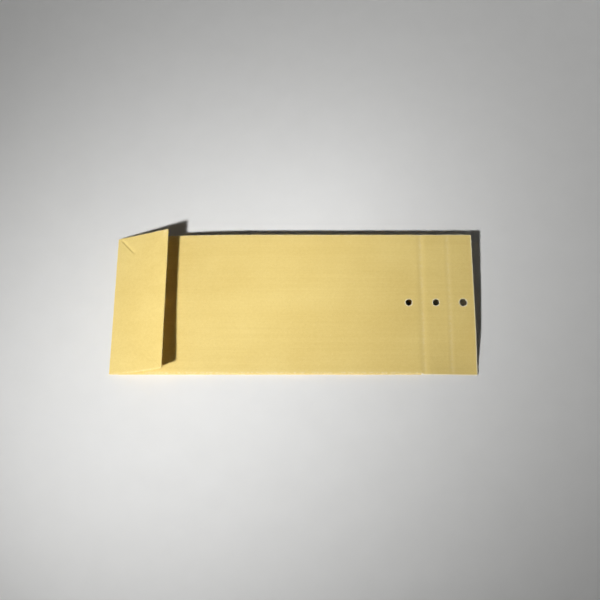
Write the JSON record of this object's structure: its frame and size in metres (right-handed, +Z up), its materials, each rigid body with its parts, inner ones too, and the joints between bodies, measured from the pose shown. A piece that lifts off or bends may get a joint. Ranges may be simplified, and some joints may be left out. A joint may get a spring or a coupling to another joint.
{
  "type": "clasp envelope",
  "caption": "Kraft paper expansion envelope with gusseted sides, a folded square bottom, a scored closing flap with punched holes and a two-prong clasp on the back",
  "frame": {"origin": "centre of the bounding box in X and Y, on the table under the back panel", "axes": "+X from the folded bottom to the tip of the closing flap, +Y across to the far edge, +Z up from the back panel to the front panel"},
  "size_m": [0.338, 0.1331, 0.0266],
  "materials": {
    "kraft_paper": "matt ochre kraft paper with faint fibre and mill streaks",
    "adhesive": "dried paste line",
    "brass": "thin stamped brass, slightly dull"
  },
  "bodies": {
    "back": {"back_panel": "kraft_paper", "seam_adhesive": "adhesive", "seam_lap": "kraft_paper", "clasp_base": "brass"},
    "near_lower": {"near_gusset_lower": "kraft_paper"},
    "near_upper": {"near_gusset_upper": "kraft_paper"},
    "front": {"front_panel": "kraft_paper"},
    "far_upper": {"far_gusset_upper": "kraft_paper"},
    "far_lower": {"far_gusset_lower": "kraft_paper"},
    "bottom": {"bottom_panel": "kraft_paper", "bottom_adhesive": "adhesive", "bottom_inner_leaf": "kraft_paper", "corner_tuck_near": "kraft_paper", "corner_tuck_far": "kraft_paper"},
    "riser": {"bottom_riser": "kraft_paper"},
    "flap_inner": {"closing_flap_inner": "kraft_paper"},
    "flap_outer": {"closing_flap_outer": "kraft_paper"},
    "prong_near": {"clasp_prong_near": "brass"},
    "prong_far": {"clasp_prong_far": "brass"}
  },
  "joints": [
    {"name": "gusset_open", "type": "hinge", "parent": "back", "child": "near_lower", "pos_m": [0, -0.0665, 0.0013], "axis": [1, 0, 0], "range_deg": [-1.4, 10.8]},
    {"name": "near_gusset_crease", "type": "hinge", "parent": "near_lower", "child": "near_upper", "pos_m": [0, -0.03753, 0.00272], "axis": [1, 0, 0], "range_deg": [-21.6, 2.8]},
    {"name": "front_near_crease", "type": "hinge", "parent": "near_upper", "child": "front", "pos_m": [0, -0.0665, 0.00413], "axis": [1, 0, 0], "range_deg": [-1.4, 10.8]},
    {"name": "front_far_crease", "type": "hinge", "parent": "front", "child": "far_upper", "pos_m": [0, 0.06625, 0.01225], "axis": [1, 0, 0], "range_deg": [-1.35, 10.42]},
    {"name": "back_far_crease", "type": "hinge", "parent": "back", "child": "far_lower", "pos_m": [0, 0.0665, 0.0013], "axis": [1, 0, 0], "range_deg": [-11.79, 1.53]},
    {"name": "bottom_lift", "type": "hinge", "parent": "back", "child": "bottom", "pos_m": [-0.169, 0, 0.00075], "axis": [0, -1, 0], "range_deg": [-3.22, 24.84]},
    {"name": "riser_fold", "type": "hinge", "parent": "bottom", "child": "riser", "pos_m": [-0.11683, 0, 0.02609], "axis": [0, -1, 0], "range_deg": [-1.86, 14.36]},
    {"name": "flap_first_crease", "type": "hinge", "parent": "front", "child": "flap_inner", "pos_m": [0.1203, -0.06656, 0.00503], "axis": [0, 0.9981, 0.061], "range_deg": [-45, 90]},
    {"name": "flap_second_crease", "type": "hinge", "parent": "flap_inner", "child": "flap_outer", "pos_m": [0.1457, -0.06656, 0.00503], "axis": [0, 0.9981, 0.061], "range_deg": [-30, 90]},
    {"name": "clasp_near_bend", "type": "hinge", "parent": "back", "child": "prong_near", "pos_m": [0.1076, -0.00075, 0.00028], "axis": [1, 0, 0], "range_deg": [0, 90]},
    {"name": "clasp_far_bend", "type": "hinge", "parent": "back", "child": "prong_far", "pos_m": [0.1076, 0.00385, 0.00028], "axis": [-1, 0, 0], "range_deg": [0, 90]}
  ],
  "couplings": [
    {"joint": "near_gusset_crease", "follows": "gusset_open", "ratio": -2},
    {"joint": "front_near_crease", "follows": "gusset_open", "ratio": 1},
    {"joint": "front_far_crease", "follows": "gusset_open", "ratio": 0.965},
    {"joint": "back_far_crease", "follows": "gusset_open", "ratio": -1.092},
    {"joint": "bottom_lift", "follows": "gusset_open", "ratio": 2.3},
    {"joint": "riser_fold", "follows": "gusset_open", "ratio": 1.33}
  ]
}
